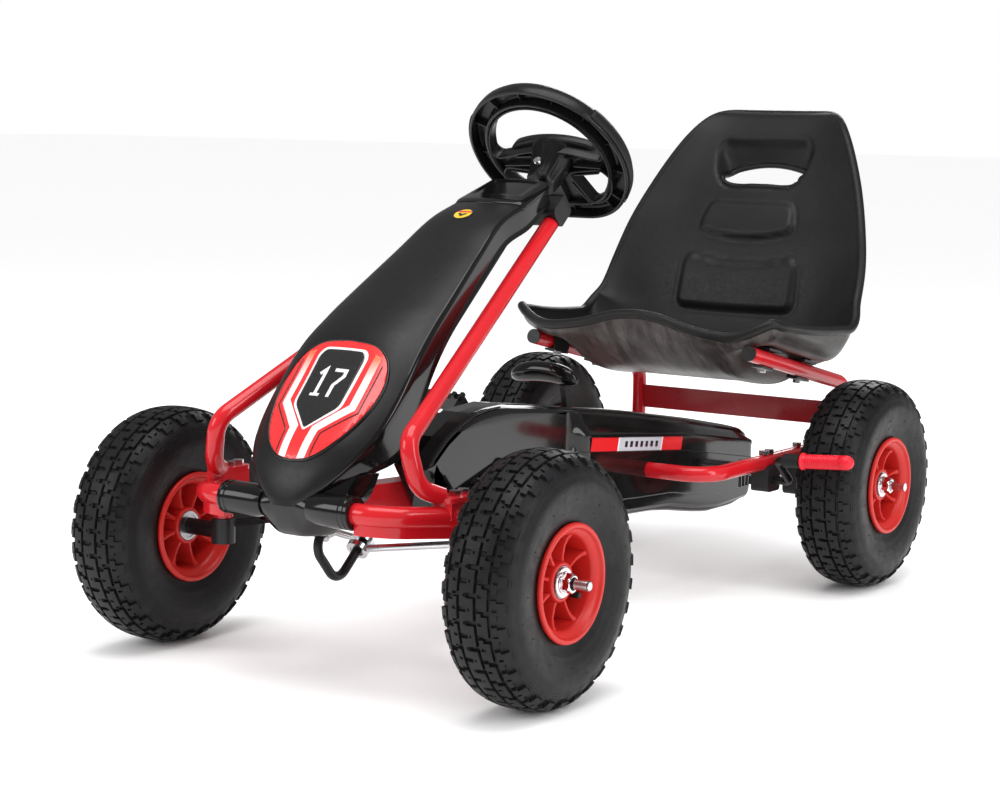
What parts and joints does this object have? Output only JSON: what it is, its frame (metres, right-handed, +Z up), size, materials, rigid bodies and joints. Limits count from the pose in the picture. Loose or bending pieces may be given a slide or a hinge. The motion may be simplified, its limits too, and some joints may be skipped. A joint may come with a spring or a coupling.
{
  "type": "pedal go kart",
  "caption": "Child's pedal go kart: tubular frame, bucket seat, steering wheel with tie rods, chain drive in a guard, hand brake, shift lever and treaded tyres.",
  "frame": {"origin": "on the ground, under the middle of the whole kart's bounding box", "axes": "+X to the driver's left, -Y the way the kart faces, +Z up; Z = 0 is the ground under the tyres"},
  "size_m": [0.6, 1.1064, 0.6245],
  "materials": {
    "tyre": "moulded rubber",
    "rim": "semi-gloss moulded",
    "steel": "ground",
    "zinc": "bright zinc plate",
    "red_paint": "gloss enamel",
    "black_paint": "satin powder coat",
    "nylon": "natural nylon",
    "black_plastic": "fine moulded grain",
    "gloss_black": "gloss moulded",
    "seat_plastic": "moulded leather grain",
    "red_rubber": "ribbed soft grip",
    "shoe_rubber": "brake block"
  },
  "bodies": {
    "frame": {"spine_tube": "red_paint", "head_tube": "red_paint", "column_bushes": "nylon", "front_beam": "red_paint", "beam_saddles": "red_paint", "kingpin_housings": "red_paint", "left_side_bar": "red_paint", "right_side_bar": "red_paint", "column_bracket": "black_paint", "rear_hoop": "red_paint", "left_seat_rail": "red_paint", "right_seat_rail": "red_paint", "seat_cross_brace": "red_paint", "tube_plugs": "black_plastic", "frame_bolts": "zinc", "axle_bearings": "black_paint", "crank_shell": "red_paint", "crank_bearings": "nylon", "chain": "zinc", "chain_guard_outer": "gloss_black", "chain_guard_inner": "gloss_black", "shift_pivot_pin": "black_paint", "brake_bracket": "black_paint", "nose_hood": "gloss_black", "nose_chin": "gloss_black"},
    "steering": {"steering_column": "black_paint", "steering_wheel": "black_plastic", "steering_wheel_screw": "zinc"},
    "knuckle_left": {"left_knuckle": "black_paint", "front_left_nuts": "zinc"},
    "knuckle_right": {"right_knuckle": "black_paint", "front_right_nuts": "zinc"},
    "tie_rod_left": {"left_tie_rod": "zinc"},
    "tie_rod_right": {"right_tie_rod": "zinc"},
    "front_left_wheel": {"front_left_tyre": "tyre", "front_left_rim": "rim", "front_left_bearings": "steel"},
    "front_right_wheel": {"front_right_tyre": "tyre", "front_right_rim": "rim", "front_right_bearings": "steel"},
    "rear_axle_set": {"rear_axle": "zinc", "rear_sprocket": "zinc", "rear_axle_nuts": "zinc", "rear_left_drive_rings": "steel", "rear_left_rim": "rim", "rear_left_tyre": "tyre"},
    "rear_right_wheel": {"rear_right_tyre": "tyre", "rear_right_rim": "rim", "rear_right_bearings": "steel"},
    "crank_set": {"crank": "black_paint", "chainring": "black_paint"},
    "pedal_left": {"left_pedal": "black_plastic"},
    "pedal_right": {"right_pedal": "black_plastic"},
    "brake": {"brake_lever": "black_paint", "brake_grip": "red_rubber", "brake_shoe": "shoe_rubber"},
    "shift": {"shift_lever": "black_paint", "shift_grip": "black_plastic"},
    "seat": {"seat_shell": "seat_plastic", "seat_saddles": "black_paint"}
  },
  "joints": [
    {"name": "steering_turn", "type": "hinge", "parent": "frame", "child": "steering", "pos_m": [0, -0.45824, 0.158], "axis": [0, 0.7547, 0.6561], "range_deg": [-17, 17]},
    {"name": "knuckle_left_turn", "type": "hinge", "parent": "frame", "child": "knuckle_left", "pos_m": [0.168, -0.42324, 0.165], "axis": [0, 0, 1], "range_deg": [-22, 22]},
    {"name": "knuckle_right_turn", "type": "hinge", "parent": "frame", "child": "knuckle_right", "pos_m": [-0.168, -0.42324, 0.165], "axis": [0, 0, 1], "range_deg": [-22, 22]},
    {"name": "tie_rod_left_swing", "type": "hinge", "parent": "knuckle_left", "child": "tie_rod_left", "pos_m": [0.148, -0.37824, 0.148], "axis": [0, 0, 1], "range_deg": [-25, 25]},
    {"name": "tie_rod_right_swing", "type": "hinge", "parent": "knuckle_right", "child": "tie_rod_right", "pos_m": [-0.148, -0.37824, 0.148], "axis": [0, 0, 1], "range_deg": [-25, 25]},
    {"name": "front_left_wheel_spin", "type": "hinge", "parent": "knuckle_left", "child": "front_left_wheel", "pos_m": [0.243, -0.42324, 0.13], "axis": [1, 0, 0], "continuous": true},
    {"name": "front_right_wheel_spin", "type": "hinge", "parent": "knuckle_right", "child": "front_right_wheel", "pos_m": [-0.243, -0.42324, 0.13], "axis": [1, 0, 0], "continuous": true},
    {"name": "rear_axle_spin", "type": "hinge", "parent": "frame", "child": "rear_axle_set", "pos_m": [0, 0.32576, 0.13], "axis": [1, 0, 0], "continuous": true},
    {"name": "rear_right_wheel_spin", "type": "hinge", "parent": "rear_axle_set", "child": "rear_right_wheel", "pos_m": [-0.243, 0.32576, 0.13], "axis": [1, 0, 0], "continuous": true},
    {"name": "crank_spin", "type": "hinge", "parent": "frame", "child": "crank_set", "pos_m": [0, -0.21824, 0.196], "axis": [1, 0, 0], "continuous": true},
    {"name": "pedal_left_spin", "type": "hinge", "parent": "crank_set", "child": "pedal_left", "pos_m": [0.11, -0.32125, 0.16705], "axis": [1, 0, 0], "continuous": true},
    {"name": "pedal_right_spin", "type": "hinge", "parent": "crank_set", "child": "pedal_right", "pos_m": [-0.11, -0.11523, 0.22495], "axis": [1, 0, 0], "continuous": true},
    {"name": "brake_pull", "type": "hinge", "parent": "frame", "child": "brake", "pos_m": [0.168, 0.22676, 0.138], "axis": [1, 0, 0], "range_deg": [-24, 0]},
    {"name": "shift_tilt", "type": "hinge", "parent": "frame", "child": "shift", "pos_m": [0.027, -0.01324, 0.164], "axis": [1, 0, 0], "range_deg": [-10, 10]},
    {"name": "seat_slide", "type": "slide", "parent": "frame", "child": "seat", "axis": [0, 0.9756, -0.2194], "range_m": [-0.03, 0.03]}
  ],
  "couplings": [
    {"joint": "knuckle_left_turn", "follows": "steering_turn", "ratio": 1.2496},
    {"joint": "knuckle_right_turn", "follows": "steering_turn", "ratio": 1.2848},
    {"joint": "tie_rod_left_swing", "follows": "steering_turn", "ratio": -1.4137},
    {"joint": "tie_rod_right_swing", "follows": "steering_turn", "ratio": -1.4513},
    {"joint": "crank_spin", "follows": "rear_axle_spin", "ratio": 0.66667}
  ]
}
